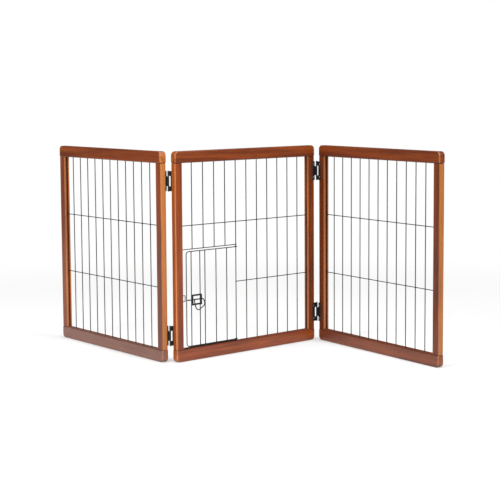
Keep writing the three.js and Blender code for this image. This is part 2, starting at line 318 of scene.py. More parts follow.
def rounded_depth(depth, radius, steps=7, ease=0.6):
    """How a rounded slab's outline draws in through its depth: places from front to back, the
    inset radius (1 - sin a) at depth radius (1 - cos a), and how far round each edge it is."""
    a = np.linspace(0, math.pi / 2, steps)
    inset = np.concatenate([[radius + ease], radius * (1 - np.sin(a))])
    place = np.concatenate([[0.0], radius * (1 - np.cos(a))]) - depth / 2
    worn = np.concatenate([[0.0], np.sin(2 * a)])
    return place, inset, worn


def tube(path, radius, reference, sides=16, eased=0.0, loop=False):
    """A circle carried along a path: point = path + radius (cos a n + sin a b), where n is the
    path's direction crossed with a fixed reference, and b the direction crossed with n. radius
    may change along the path. eased rounds the two ends."""
    path = np.asarray(path, float)
    radius = np.broadcast_to(np.asarray(radius, float), (len(path),)).copy()
    if loop:
        along = np.roll(path, -1, axis=0) - np.roll(path, 1, axis=0)
    else:
        along = np.gradient(path, axis=0)
    along /= np.linalg.norm(along, axis=1, keepdims=True)
    if eased:
        a = np.linspace(0, math.pi / 2, 4)[:, None]
        lead, trail = eased * (1 - np.sin(a)), eased * (1 - np.cos(a))
        path = np.concatenate([
            path[:1] + along[:1] * trail, path[1:-1], (path[-1:] - along[-1:] * trail)[::-1]])
        radius = np.concatenate([
            radius[0] - lead[:, 0], radius[1:-1], (radius[-1] - lead[:, 0])[::-1]])
        along = np.concatenate([
            np.repeat(along[:1], 4, axis=0), along[1:-1], np.repeat(along[-1:], 4, axis=0)])
    across = np.cross(along, reference)
    across /= np.linalg.norm(across, axis=1, keepdims=True)
    beside = np.cross(along, across)
    a = np.linspace(0, 2 * math.pi, sides, endpoint=False)
    return path[:, None] + radius[:, None, None] * (
        np.cos(a)[None, :, None] * across[:, None] + np.sin(a)[None, :, None] * beside[:, None])


def bent(corners, radius, steps=8):
    """A path through corners, each rounded: with unit directions u in and v out and the turn t
    between them, the arc starts r tan(t/2) before the corner and is r sin s along u and
    r (1 - cos s) towards the inside, for s from 0 to t."""
    corners = np.asarray(corners, float)
    parts = [corners[:1]]
    for before, here, after in zip(corners, corners[1:], corners[2:]):
        u = (here - before) / np.linalg.norm(here - before)
        v = (after - here) / np.linalg.norm(after - here)
        t = math.acos(np.clip(u @ v, -1, 1))
        inside = v - (u @ v) * u
        inside /= np.linalg.norm(inside)
        s = np.linspace(0, t, steps)[:, None]
        start = here - radius * math.tan(t / 2) * u
        parts.append(start + radius * (np.sin(s) * u + (1 - np.cos(s)) * inside))
    parts.append(corners[-1:])
    return np.concatenate(parts)


def smooth_path(points, steps=8):
    """A smooth path through points: between two of them it is the cubic whose ends' directions
    are half the line from the point before to the point after."""
    p = np.asarray(points, float)
    p = np.concatenate([2 * p[:1] - p[1:2], p, 2 * p[-1:] - p[-2:-1]])
    t = np.linspace(0, 1, steps, endpoint=False)[None, :, None]
    a, b, c, d = (q[:, None] for q in (p[:-3], p[1:-2], p[2:-1], p[3:]))
    curve = 0.5 * (2 * b + (c - a) * t + (2 * a - 5 * b + 4 * c - d) * t ** 2
                   + (3 * b - a - 3 * c + d) * t ** 3)
    return np.concatenate([curve.reshape(-1, 3), p[-2:-1]])


def turned(profile, sides=32):
    """A profile of (radius, height) turned about the upright axis:
    point = (r cos a, r sin a, z)."""
    profile = np.asarray(profile, float)
    a = np.linspace(0, 2 * math.pi, sides, endpoint=False)
    r, z = profile[:, :1], profile[:, 1:]
    return np.stack([r * np.cos(a), r * np.sin(a), z + 0 * a], axis=-1)


def slab(low, high, radii, thickness, edge, steps=5, ease=0.25):
    """A flat plate in the plane of the first two coordinates: its rounded outline, drawn in by
    a quarter circle at both faces. Returns the points and how worn each is."""
    place, normal = outline(low, high, radii, steps, ease)
    depth, inset, worn = rounded_depth(thickness, edge, 5, ease)
    depth = np.concatenate([depth, -depth[::-1]])
    inset, worn = (np.concatenate([v, v[::-1]]) for v in (inset, worn))
    flat = place[None] - inset[:, None, None] * normal[None]
    points = np.concatenate([flat, np.broadcast_to(depth[:, None, None], flat[..., :1].shape)], -1)
    return points, np.broadcast_to(worn[:, None], points.shape[:2])


# ---- Finishes ----
class Value:
    """A socket that can be used in sums. Each sum adds its Math node."""

    def __init__(self, look, socket):
        self.look, self.socket = look, socket

    def math(self, operation, *others):
        return self.look.node("ShaderNodeMath", {"operation": operation},
                              dict(enumerate((self,) + others)))

    def __add__(self, other):
        return self.math("ADD", other)

    def __sub__(self, other):
        return self.math("SUBTRACT", other)

    def __mul__(self, other):
        return self.math("MULTIPLY", other)

    def __rsub__(self, other):
        return self.look.node("ShaderNodeMath", {"operation": "SUBTRACT"}, {0: other, 1: self})

    __radd__ = __add__
    __rmul__ = __mul__

    def step(self, low, high):
        """0 below low, 1 above high, and a smooth rise between."""
        return self.look.node("ShaderNodeMapRange", {"interpolation_type": "SMOOTHSTEP"},
                              {"Value": self, "From Min": low, "From Max": high})


class Look:
    """A material and the ways to add nodes to it."""

    def __init__(self, name):
        self.material = bpy.data.materials.new(name)
        self.material.use_nodes = True
        self.tree = self.material.node_tree
        self.shader = self.tree.nodes["Principled BSDF"]

    def link(self, holder, key, value):
        socket = holder.inputs[key]
        if isinstance(value, Value):
            self.tree.links.new(value.socket, socket)
        elif isinstance(value, (int, float)):
            socket.default_value = value
        else:
            value = tuple(value)
            size = len(socket.default_value)
            socket.default_value = value if size == len(value) else value + (1.0,)

    def node(self, kind, settings=None, inputs=None, output=0):
        """Adds a node: its settings first, then the values or links of its inputs."""
        made = self.tree.nodes.new(kind)
        for key, value in (settings or {}).items():
            setattr(made, key, value)
        for key, value in (inputs or {}).items():
            self.link(made, key, value)
        return Value(self, made.outputs[output])

    def set(self, **inputs):
        for key, value in inputs.items():
            self.link(self.shader, key.replace("_", " "), value)

    def mark(self, name, vector=False):
        return self.node("ShaderNodeAttribute", {"attribute_name": name}, output=1 if vector else 2)

    def place(self):
        return self.node("ShaderNodeTexCoord", output="Object")

    def stretched(self, vector, scale):
        return self.node("ShaderNodeVectorMath", {"operation": "MULTIPLY"}, {0: vector, 1: scale})

    def noise(self, vector, scale, detail=2.0, roughness=0.5, distortion=0.0):
        return self.node("ShaderNodeTexNoise", {}, {
            "Vector": vector, "Scale": scale, "Detail": detail, "Roughness": roughness,
            "Distortion": distortion})

    def mix(self, share, a, b):
        """Colour a where share is 0, b where it is 1. The node's colour sockets are 6 and 7."""
        return self.node("ShaderNodeMix", {"data_type": "RGBA"}, {0: share, 6: a, 7: b}, output=2)

    def bump(self, height, strength, distance):
        return self.node("ShaderNodeBump", {}, {
            "Strength": strength, "Distance": distance, "Height": height})


def stained_wood():
    """Reddish brown stain under a clear lacquer. The grain follows each member: long fibres,
    slow bands of tone, short dark pores, and side grain and edges lighter, partly real and partly
    a painted highlight. The grey sheen on the lower rails is a painted reflection of the floor."""
    finish = bpy.context.scene.gate_finish
    look = Look("stained_wood_finish")
    grain = look.mark("grain", vector=True)
    tone, worn, side = look.mark("tone"), look.mark("worn"), look.mark("side_grain_and_highlight")
    bands = look.noise(look.stretched(grain, (2.2, 30.0, 30.0)), 1.0, 3.0, 0.55, 0.6)
    figure = look.noise(look.stretched(grain, (5.0, 95.0, 95.0)), 1.0, 4.0, 0.6, 0.9)
    fibre = look.noise(look.stretched(grain, (22.0, 900.0, 900.0)), 1.0, 3.0, 0.6)
    pores = look.noise(look.stretched(grain, (140.0, 2100.0, 2100.0)), 1.0, 1.0)
    pore = pores.step(0.60, 0.70)
    light = (bands * 0.45 + figure * 0.35 + fibre * 0.2).step(0.38, 0.62)
    shade = look.mix(light, finish.stain_deep, finish.stain_light)
    # Side grain lighter in the edge stain: partly real, partly a painted highlight.
    shade = look.mix(side * (0.55 + 0.45 * light), shade, finish.edge_stain_and_highlight)
    # Edges lighter in the edge stain: partly real wear, partly a painted highlight on the rounded
    # arrises.
    shade = look.mix(worn * (0.32 + 0.45 * bands.step(0.42, 0.6)), shade, finish.edge_stain_and_highlight)
    shade = look.mix(pore * 0.35, shade, finish.stain_deep)
    # Painted reflection: a grey sheen of the floor on the lower rails.
    shade = look.mix(look.mark("film") * (0.7 + 0.6 * bands), shade, finish.film)
    blotch = look.noise(look.stretched(grain, (7.0, 12.0, 12.0)), 1.0, 2.0)
    # tone carries each member's own shade and, on the rails, painted shade along the long arrises.
    level = tone * (0.86 + 0.28 * blotch)
    shade = look.node("ShaderNodeVectorMath", {"operation": "SCALE"}, {0: shade, "Scale": level})
    smudge = look.noise(look.stretched(grain, (30.0, 30.0, 30.0)), 1.0, 3.0)
    height = fibre * 0.6 + figure * 0.3 - pore * 0.5
    look.set(Base_Color=shade, Roughness=0.30 + 0.14 * smudge + pore * 0.10,
             Coat_Weight=0.30 + 0.45 * worn, Normal=look.bump(height, 0.25, 0.0004))
    look.shader.inputs["Coat Roughness"].default_value = 0.16
    look.shader.inputs["Specular IOR Level"].default_value = 0.32
    return look.material


def black_wire():
    """Satin black coating with a fine orange-peel skin, thinner and greyer in places."""
    finish = bpy.context.scene.gate_finish
    look = Look("black_wire_finish")
    place = look.place()
    skin = look.noise(place, 1400.0, 2.0)
    patch = look.noise(place, 35.0, 3.0)
    thin = patch.step(0.52, 0.75)
    grey = tuple(3.2 * c + 0.01 for c in finish.coating)
    look.set(Base_Color=look.mix(thin * 0.5 + skin.step(0.55, 0.75) * 0.2, finish.coating, grey),
             Roughness=0.34 + 0.16 * patch + 0.06 * skin,
             Normal=look.bump(skin, 0.30, 0.0002))
    look.shader.inputs["Metallic"].default_value = 0.25
    return look.material


def black_steel():
    """Black finish on sheet steel: a faint rolled grain, rubbed to grey steel on the edges."""
    finish = bpy.context.scene.gate_finish
    look = Look("black_steel_finish")
    place = look.place()
    rolled = look.noise(look.stretched(place, (900.0, 900.0, 60.0)), 1.0, 3.0)
    patch = look.noise(place, 120.0, 4.0, 0.6)
    rubbed = (look.mark("worn") * 0.75 + patch * 0.6).step(0.78, 1.05)
    scuff = (rolled * 0.5 + patch * 0.5).step(0.56, 0.66) * 0.16
    look.set(Base_Color=look.mix(rubbed * 0.7 + scuff, finish.black_steel, finish.bare_steel),
             Metallic=0.35 + 0.55 * rubbed,
             Roughness=0.36 + 0.18 * patch - 0.10 * rubbed,
             Normal=look.bump(rolled * 0.4 + patch * 0.6, 0.22, 0.0002))
    return look.material


def screw_steel():
    """Darkened steel with turned rings, brighter round the rim and black in the recess."""
    finish = bpy.context.scene.gate_finish
    look = Look("screw_steel_finish")
    place = look.place()
    rings = look.noise(look.stretched(look.mark("turning", vector=True), (9.0, 1.2, 1.0)), 1.0, 3.0)
    patch = look.noise(place, 700.0, 3.0)
    recess = look.mark("recess")
    bright = tuple(1.9 * c for c in finish.bare_steel)
    shade = look.mix(rings.step(0.35, 0.7), finish.bare_steel, bright)
    shade = look.mix(patch.step(0.50, 0.72) * 0.5, shade, finish.black_steel)
    shade = look.mix(recess, shade, finish.black_steel)
    look.set(Base_Color=shade, Metallic=0.9 - 0.4 * recess,
             Roughness=0.28 + 0.2 * patch + 0.2 * recess,
             Normal=look.bump(rings, 0.3, 0.0001))
    return look.material


def finish_look(name):
    """The finish for a material slot, made the first time it is asked for."""
    made = bpy.data.materials.get(f"{name}_finish")
    return made or {"stained_wood": stained_wood, "black_wire": black_wire,
                    "black_steel": black_steel, "screw_steel": screw_steel}[name]()


# ---- Wooden frames ----
PANELS = {"left": -1, "middle": 0, "right": 1}
# Shade of each member, how light its end or side grain is (partly a painted highlight), and how
# much grey painted reflection of the floor it has.
MEMBER_TONE = {
    "left_top_rail": (0.80, 0.85, 0.0), "left_bottom_rail": (0.97, 0.25, 0.40),
    "left_left_stile": (0.88, 1.35, 0.05), "left_right_stile": (0.80, 1.45, 0.05),
    "middle_top_rail": (0.88, 0.20, 0.0), "middle_bottom_rail": (1.17, 0.20, 0.04),
    "middle_left_stile": (1.05, 0.12, 0.0), "middle_right_stile": (0.84, 1.15, 0.0),
    "right_top_rail": (0.70, 0.15, 0.0), "right_bottom_rail": (0.78, 0.15, 0.08),
    "right_left_stile": (0.60, 1.25, 0.0), "right_right_stile": (0.62, 1.25, 0.0),
}


def wood_marks(name, along, across, depth, worn, side, shade=1.0):
    """Where each point is in its member's own timber, moved on for every member so that no two
    share their figure."""
    member = list(MEMBER_TONE).index(name)
    shift = np.array([0.61, 0.173, 0.097]) * (member + 1)
    tone, side_grain_and_highlight_level, film = MEMBER_TONE[name]
    grain = np.stack(np.broadcast_arrays(along, across, depth), axis=-1) * MM + shift
    flat = np.broadcast_to(worn, grain.shape[:2])
    # tone is the member's own shade times the shade given, which on the rails is painted shade
    # along the long arrises.
    return {"grain": grain, "tone": np.broadcast_to(shade, grain.shape[:2]) * tone, "worn": flat,
            "film": np.full(grain.shape[:2], film),
            "side_grain_and_highlight": np.broadcast_to(side, grain.shape[:2]) * side_grain_and_highlight_level}


def rail_shape(panel, which):
    """A rail: s goes round its outline and t through its depth. The point is the outline's
    minus the outward direction times the inset, which is a quarter circle at both faces, plus
    the groove's depth where both s and t are in the groove."""
    s = frame_sizes()
    height = s.top_rail if which == "top" else s.bottom_rail
    x = half_width()
    place, normal = outline((-x, 0.0), (x, height),
                            (s.inner_corner, s.rail_corner, s.rail_corner, s.inner_corner), 9)
    g = inner_x() - 2.0
    place = np.concatenate([place, [[-g, 0], [-g, 0], [g, 0], [g, 0]]])
    normal = np.concatenate([normal, [[0, -1]] * 4])
    grooved = np.concatenate([np.zeros(len(place) - 4), [0, 1, 1, 0]])
    front, inset, worn = rounded_depth(s.rail_depth, s.rail_edge)
    half = s.groove_width / 2
    y = np.concatenate([front, [-half, -half, half, half], -front[::-1]])
    inset = np.concatenate([inset, [0, 0, 0, 0], inset[::-1]])
    cut = np.concatenate([0 * front, [0, 1, 1, 0], 0 * front]) * s.groove_depth
    worn = np.concatenate([worn, [0, 0, 0, 0], worn[::-1]])
    draw = inset[:, None] + cut[:, None] * grooved[None]
    flat = place[None] - draw[..., None] * normal[None]
    up = opening()[1] + flat[..., 1] if which == "top" else opening()[0] - flat[..., 1]
    y = np.broadcast_to(y[:, None], up.shape)
    points = np.stack([flat[..., 0], y, up], axis=-1)
    name = f"{panel}_{which}_rail"
    end = np.abs(normal[:, 0])[None]
    # Painted shade: the long arrises are darker, more on the side towards the opening.
    painted_arris_shade = (1.0 - end ** 2) * (0.22 + 0.26 * (normal[:, 1] < 0)[None])
    # At the rail's ends the edge mark and the side grain lighten the wood: partly real wear and
    # side grain, partly a painted highlight on the end corners.
    marks = wood_marks(name, points[..., 0], points[..., 2], y, worn[:, None] * end ** 2,
                       end ** 3, 1.0 - worn[:, None] * painted_arris_shade)
    shell = Shell()
    shell.patch(on_panel(points, PANELS[panel]), **marks)
    shell.piece(f"shaped_{name}", name, finish_look("stained_wood"))


def stile_shape(panel, which):
    """A stile: its rounded section, with the groove cut into the side that faces the wires,
    carried straight up between the rails."""
    s = frame_sizes()
    w, d = s.stile_width / 2, s.stile_depth / 2
    place, normal = outline((-w, -d), (w, d), (s.stile_edge,) * 4, 9)
    sides = len(place) // 4
    half, deep = s.groove_width / 2, s.groove_depth
    notch = np.array([[w, -half], [w - deep, -half], [w - deep, half], [w, half]])
    place = np.concatenate([place[:sides], notch, place[sides:]])
    normal = np.concatenate([normal[:sides], [[1, 0]] * 4, normal[sides:]])
    # The stile's vertical arrises are lighter: partly real wear, partly a painted highlight.
    worn = np.abs(2 * normal[:, 0] * normal[:, 1])
    # Side faces lighter as side grain: partly real, partly a painted highlight.
    outward = np.clip(-normal[:, 0], 0, 1) ** 3 + 0.75 * np.clip(normal[:, 0], 0, 1) ** 3
    outward[sides:sides + 4] = 0.0
    low, high = opening()
    z = np.linspace(low + s.glue_line, high - s.glue_line, 13)
    turn_round = 1 if which == "left" else -1
    x = turn_round * place[:, 0]
    y = turn_round * place[:, 1]
    centre = -turn_round * (half_width() - w)
    z, x, y = np.broadcast_arrays(z[:, None], (x + centre)[None], y[None])
    points = np.stack([x, y, z], axis=-1)
    name = f"{panel}_{which}_stile"
    marks = wood_marks(name, z, x - centre, y, worn[None], outward[None])
    shell = Shell()
    shell.patch(on_panel(points, PANELS[panel]), **marks)
    shell.piece(f"shaped_{name}", name, finish_look("stained_wood"))


# ---- Wires ----
UPRIGHT_COUNT = 11
UPRIGHT_Y, CROSS_Y = -0.9, 1.0
SILL_LIFT = 0.4  # the sill wire over the bottom rail
DOOR_LIFT = 1.0  # the door over the sill wire
JAMB_OVERRUN = 4.0  # header and sill past the jamb
FROM_EDGE, FROM_JAMB = (18.0, 50.0, 68.5), (78.5, 38.0)  # the door's inner uprights
Y_AXIS = np.array([0.0, 1.0, 0.0])
Z_AXIS = np.array([0.0, 0.0, 1.0])


def upright_path(x, low, high):
    z = np.array([low, (low + high) / 2, high])
    return np.stack([np.full(3, x), np.full(3, UPRIGHT_Y), z], axis=-1)


def cross_wire(shell, z, start, end, welds, radius, side, y=CROSS_Y, eased=0.4):
    """A cross wire that swells where it is welded to each upright: its radius is
    r (1 + 0.16 exp(-(d / 1.7)^2)), d being the distance to the nearest weld."""
    near = np.linspace(-5.0, 5.0, 9)
    x = (np.asarray(welds, float)[:, None] + near).ravel()
    x = np.concatenate([[start], x[(x > start + 1) & (x < end - 1)], [end]])
    distance = np.abs(x[:, None] - np.asarray(welds, float)).min(axis=1)
    swell = radius * (1 + 0.16 * np.exp(-(distance / 1.7) ** 2))
    path = np.stack([x, np.full_like(x, y), np.full_like(x, z)], axis=-1)
    shell.patch(on_panel(tube(path, swell, Y_AXIS, 14, eased), side))


def upright_places():
    return (np.arange(UPRIGHT_COUNT) - UPRIGHT_COUNT // 2) * wire_sizes().pitch


def side_grid(panel):
    """Eleven uprights and two cross wires at the thirds of the opening."""
    w = wire_sizes()
    low, high = opening()
    side = PANELS[panel]
    shell = Shell()
    for x in upright_places():
        path = upright_path(x, low - w.tuck, high + w.tuck)
        shell.patch(on_panel(tube(path, w.upright_radius, Y_AXIS, 16, 0.4), side))
    edge = inner_x() + w.tuck
    for share in (1, 2):
        z = low + (high - low) * share / 3
        cross_wire(shell, z, -edge, edge, upright_places(), w.cross_radius, side)
    name = f"{panel}_grid"
    shell.piece(f"shaped_{name}", name, finish_look("black_wire"), 60)


def middle_grid():
    """The middle grid, whose uprights on the left stop at the header wire over the doorway."""
    w = wire_sizes()
    low, high = opening()
    jamb = -w.pitch
    shell = Shell()
    places = upright_places()
    for x in places:
        start = w.header if x < jamb - 1 else low - w.tuck
        path = upright_path(x, start, high + w.tuck)
        shell.patch(tube(path, w.upright_radius, Y_AXIS, 16, 0.5))
    edge = inner_x() + w.tuck
    third = (high - low) / 3
    sill = low + SILL_LIFT + w.sill_radius
    right = places[places > jamb - 1]
    cross_wire(shell, low + 2 * third - w.middle_drop, -edge, edge, places, w.cross_radius, 0)
    cross_wire(shell, low + third - w.middle_drop, jamb, edge, right, w.cross_radius, 0)
    left = places[places < jamb + 1]
    cross_wire(shell, w.header, -edge, jamb + JAMB_OVERRUN, left, w.cross_radius, 0)
    cross_wire(shell, sill, -edge, jamb + JAMB_OVERRUN, [jamb], w.sill_radius, 0, y=0.0)
    shell.piece("shaped_middle_grid", "middle_grid", finish_look("black_wire"), 60)


def door_places():
    """The door's free edge, its jamb, and its lowest and highest wires."""
    w = wire_sizes()
    edge = -inner_x() + w.door_edge
    bottom = opening()[0] + SILL_LIFT + 2 * w.sill_radius + DOOR_LIFT + w.upright_radius
    return edge, -w.pitch, bottom, w.door_top


def door_uprights():
    edge, jamb = door_places()[:2]
    return [edge + gap for gap in FROM_EDGE] + [jamb - gap for gap in FROM_JAMB]


def door_depth():
    return UPRIGHT_Y - wire_sizes().eye_radius


def eye(jamb, z, backwards):
    """The curl at a wire's end: a circle round the jamb, (jamb + R sin a, -R cos a), for the
    angle a from the door's face nearly once round."""
    radius = wire_sizes().eye_radius
    a = np.linspace(0.0, math.radians(322), 26)
    path = np.stack([jamb + radius * np.sin(a), UPRIGHT_Y - radius * np.cos(a), z + 0 * a], -1)
    return path[::-1] if backwards else path


def pet_door():
    """One bent outer wire whose ends curl round the jamb, and the door's upright wires."""
    w = wire_sizes()
    edge, jamb, bottom, top = door_places()
    y = door_depth()
    outer = bent([(jamb, y, top), (edge, y, top), (edge, y, bottom), (jamb, y, bottom)],
                 w.door_corner)
    path = np.concatenate([eye(jamb, top, True)[:-1], outer, eye(jamb, bottom, False)[1:]])
    shell = Shell()
    lean = np.array([0.0, 1.0, 1.0]) / math.sqrt(2)
    shell.patch(tube(path, w.upright_radius, lean, 16, 0.25))
    for x in door_uprights():
        z = np.array([
            bottom, bottom + 1.3, bottom + 5, (top + bottom) / 2, top - 5, top - 1.3, top])
        swell = w.upright_radius * np.array([1.0, 1.12, 1.0, 1.0, 1.0, 1.12, 1.0])
        line = np.stack([np.full(7, x), np.full(7, y), z], axis=-1)
        shell.patch(tube(line, swell, Y_AXIS, 16))
    shell.piece("shaped_pet_door", "pet_door", finish_look("black_wire"), 60)


# ---- Latch ----
GUIDE_LOW, GUIDE_HIGH, GUIDE_BAR, SHEET = 161.0, 192.7, 5.0, 2.0
LUG_Y, BOLT_Y = -12.1, -9.5
WELD_GAP = 0.3  # between the door's wires and what sits in front of them
KEEPER_REACH, TIP_CLEAR = 8.0, 0.7


def guide_span():
    """The guide's left and right faces, on two of the door's uprights."""
    places = door_uprights()
    return places[0] - SHEET / 2, places[1] + SHEET / 2


def lug(x, y_front, y_back, z_low, z_high, hole_y, hole_z, hole_radius):
    """A pierced plate across x. a goes round it; t goes from the hole's wall out along one
    face to the outline and back along the other. A face's point is the hole's circle plus a
    share of the line from it to the rounded outline."""
    place, normal = outline((y_front, z_low), (y_back, z_high), (0.6, 0.6, 2.4, 2.4), 6, 0.2)
    centre = np.array([hole_y, hole_z])
    away = place - centre
    away /= np.linalg.norm(away, axis=1, keepdims=True)
    circle = centre + hole_radius * away
    t = SHEET / 2
    rows = [(0.0, 0.0, 0.0, t - 0.25), (0.0, 0.0, 0.25, t), (1.0, 0.35, 0.0, t),
            (1.0, 0.1, 0.0, t - 0.1), (1.0, 0.0, 0.0, t - 0.35)]
    rows = rows + [(share, inset, flare, -side) for share, inset, flare, side in rows[::-1]]
    share, inset, flare, side = (np.array(column)[:, None, None] for column in zip(*rows))
    flat = (1 - share) * (circle + flare * away) + share * (place - inset * normal)
    points = np.concatenate([np.broadcast_to(x + side, flat[..., :1].shape), flat], axis=-1)
    worn = np.where((inset > 0) & (inset < 0.3), 1.0, 0.0)[..., 0] + np.zeros(len(place))
    return points, worn


def latch_guide():
    """A sheet frame across two door wires, its sides turned out and pierced for the bolt."""
    h = hardware()
    left, right = guide_span()
    back = door_depth() - wire_sizes().upright_radius - WELD_GAP
    shell = Shell()
    t = SHEET / 2
    middle = back - t - 0.05
    for z in (GUIDE_LOW, GUIDE_HIGH - GUIDE_BAR):
        corners = [(left + t, LUG_Y + 3.2, 0), (left + t, middle, 0), (right - t, middle, 0),
                   (right - t, LUG_Y + 3.2, 0)]
        path = bent(corners, 1.7)
        along = np.gradient(path, axis=0)
        along /= np.linalg.norm(along, axis=1, keepdims=True)
        out = np.cross(along, Z_AXIS)
        section, facing = outline((-t, 0.0), (t, GUIDE_BAR), (0.4,) * 4, 5, 0.15)
        points = (path[:, None] + section[None, :, :1] * out[:, None]
                  + (section[None, :, 1:] + z) * Z_AXIS)
        worn = np.abs(2 * facing[:, 0] * facing[:, 1])[None] + np.zeros((len(path), 1))
        shell.patch(points, worn=worn)
    for x in (left + t, right - t):
        points, worn = lug(x, LUG_Y, middle + 0.4, GUIDE_LOW, GUIDE_HIGH, BOLT_Y, h.latch_height,
                           h.bolt_radius + 0.4)
        shell.patch(points, loop=True, worn=worn)
    shell.piece("shaped_latch_guide", "latch_guide", finish_look("black_steel"))


def latch_bolt():
    """A rod through the guide, and a smooth finger loop that leaves its end and comes back up
    to it inside the guide."""
    h = hardware()
    z, end = h.latch_height, guide_span()[1] + 4.1
    tip = -inner_x() + KEEPER_REACH + h.keeper_radius + TIP_CLEAR
    rod = np.stack([np.linspace(tip, end, 9), np.full(9, BOLT_Y), np.full(9, z)], axis=-1)
    steps = [(0.0, 0.0), (3.6, -3.3), (6.1, -9.0), (7.0, -14.0), (6.4, -18.5), (2.4, -22.4),
             (-3.2, -25.7), (-9.0, -29.2), (-12.6, -31.0), (-16.1, -31.7), (-20.1, -30.0),
             (-24.4, -25.0), (-27.0, -19.5), (-28.6, -14.0), (-29.9, -7.0), (-30.6, 0.0)]
    loop = smooth_path([(end + dx, BOLT_Y, z + dz) for dx, dz in steps], 6)
    shell = Shell()
    points = tube(rod, h.bolt_radius, Y_AXIS, 24, 0.7)
    rubbed = np.clip(1.2 - np.abs(points[..., 0] - tip) / 14.0, 0.15, 1)
    shell.patch(points, worn=rubbed)
    points = tube(loop, h.loop_radius, Y_AXIS, 18)
    low = points[..., 2].min()
    shell.patch(points, worn=np.clip(1.0 - (points[..., 2] - low) / 12.0, 0.1, 0.9))
    shell.piece("shaped_latch_bolt", "latch_bolt", finish_look("black_steel"), 60)


def latch_keeper():
    """A wire staple on the stile: out, up and back, with tight bends."""
    h = hardware()
    y = door_depth() - wire_sizes().upright_radius - WELD_GAP
    face, reach = -inner_x() + 0.3, -inner_x() + KEEPER_REACH
    low, high = h.latch_height - 2.9, h.latch_height + 14.4
    path = bent([(face, y, low), (reach, y, low), (reach, y, high), (face, y, high)], 2.4, 10)
    shell = Shell()
    shell.patch(tube(path, h.keeper_radius, Y_AXIS, 18))
    shell.piece("shaped_latch_keeper", "latch_keeper", finish_look("black_wire"), 60)


# ---- Hinges ----
HINGES = {
    "left_lower_hinge": (-1, 77.0, True),
    "left_upper_hinge": (-1, 525.0, True),
    "right_lower_hinge": (1, 88.0, True),
    "right_upper_hinge": (1, 531.0, False),
}
LEAF_LOW = -2.3


def leaf_turn(points, side, moving):
    """Turns a leaf about its pin: a fixed leaf on the left joint is as made, on the right it is
    half turned; a moving leaf is mirrored by a half turn about Y on the left, X on the right."""
    sign = {(-1, False): (1, 1, 1), (1, False): (-1, -1, 1), (-1, True): (-1, 1, -1),
            (1, True): (1, -1, -1)}[side, moving]
    return points * np.array(sign, float)


def leaf_place(points, side, moving, z):
    turned_points = leaf_turn(points, side, moving) + np.array([0, 0, z])
    if moving:
        return on_pivot(turned_points, side)
    reach = half_width() + hardware().hinge_reach
    return turned_points + np.array([side * reach, -side * pin_offset(), 0.0])


def knuckle(low, high):
    """A knuckle: a rounded tube wall turned about the pin, its bore open."""
    h = hardware()
    outer, bore, e = h.knuckle_radius, h.knuckle_bore, 0.25
    wall = [(outer, low + e), (outer, low + 2 * e), (outer, high - 2 * e), (outer, high - e),
            (outer - 0.3 * e, high - 0.3 * e), (outer - e, high), (bore + e, high),
            (bore, high - e), (bore, low + e), (bore + e, low), (outer - e, low),
            (outer - 0.3 * e, low + 0.3 * e)]
    worn = np.array([0.6, 0.1, 0.1, 0.6, 1.0, 0.7, 0.3, 0.0, 0.0, 0.3, 0.7, 1.0])
    return turned(wall, 28), worn[:, None]


def hinge_leaf(name, moving):
    """A leaf: a plate with rounded free corners, tongues that reach to the pin, and knuckles
    at its two ends or in its middle."""
    side, z, fixed_outer = HINGES[name]
    outer = fixed_outer != moving
    h = hardware()
    half, quarter = h.hinge_height / 2, h.hinge_height / 4
    spans = ([(-half, -quarter - 0.2), (quarter + 0.2, half)] if outer
             else [(-quarter + 0.2, quarter - 0.2)])
    shell = Shell()

    def add(points, worn, loop=False):
        shell.patch(leaf_place(points, side, moving, z), loop=loop, worn=worn)

    def plate(x_low, x_high, z_low, z_high, radii):
        flat, worn = slab((x_low, z_low), (x_high, z_high), radii, h.leaf_thickness, 0.35)
        y = LEAF_LOW + h.leaf_thickness / 2 + flat[..., 2]
        add(np.stack([flat[..., 0], y, flat[..., 1]], axis=-1), worn)

    plate(h.hinge_reach - 0.5, h.hinge_reach + h.leaf_width, -half, half, (2.2, 2.2, 0.7, 0.7))
    for low, high in spans:
        plate(0.0, h.hinge_reach + 0.6, low, high, (0.6,) * 4)
        points, worn = knuckle(low, high)
        add(points, worn, loop=True)
    kind = "moving" if moving else "fixed"
    shell.piece(f"shaped_{name}_{kind}_leaf", f"{name}_{kind}_leaf",
                finish_look("black_steel"))


def hinge_pin(name):
    """A turned pin: a chamfered foot, a straight shank and a low domed head."""
    side, z, _ = HINGES[name]
    h = hardware()
    half, r = h.hinge_height / 2, h.pin_radius
    profile = [(0.3, -half - 0.8), (r - 0.3, -half - 0.8), (r, -half - 0.5), (r, -half),
               (r, half + 0.28), (r, half + 0.3), (1.9, half + 0.3), (2.1, half + 0.42),
               (2.1, half + 0.7), (1.95, half + 1.0), (1.5, half + 1.28), (0.8, half + 1.45),
               (0.25, half + 1.5)]
    worn = np.array([0.2, 0.8, 0.8, 0.1, 0.1, 0.2, 0.4, 1.0, 0.9, 0.8, 0.6, 0.5, 0.5])
    points = turned(profile, 28)
    shell = Shell()
    reach = half_width() + h.hinge_reach
    shell.patch(points + np.array([side * reach, -side * pin_offset(), z]), worn=worn[:, None])
    shell.piece(f"shaped_{name}_pin", f"{name}_pin", finish_look("black_steel"))


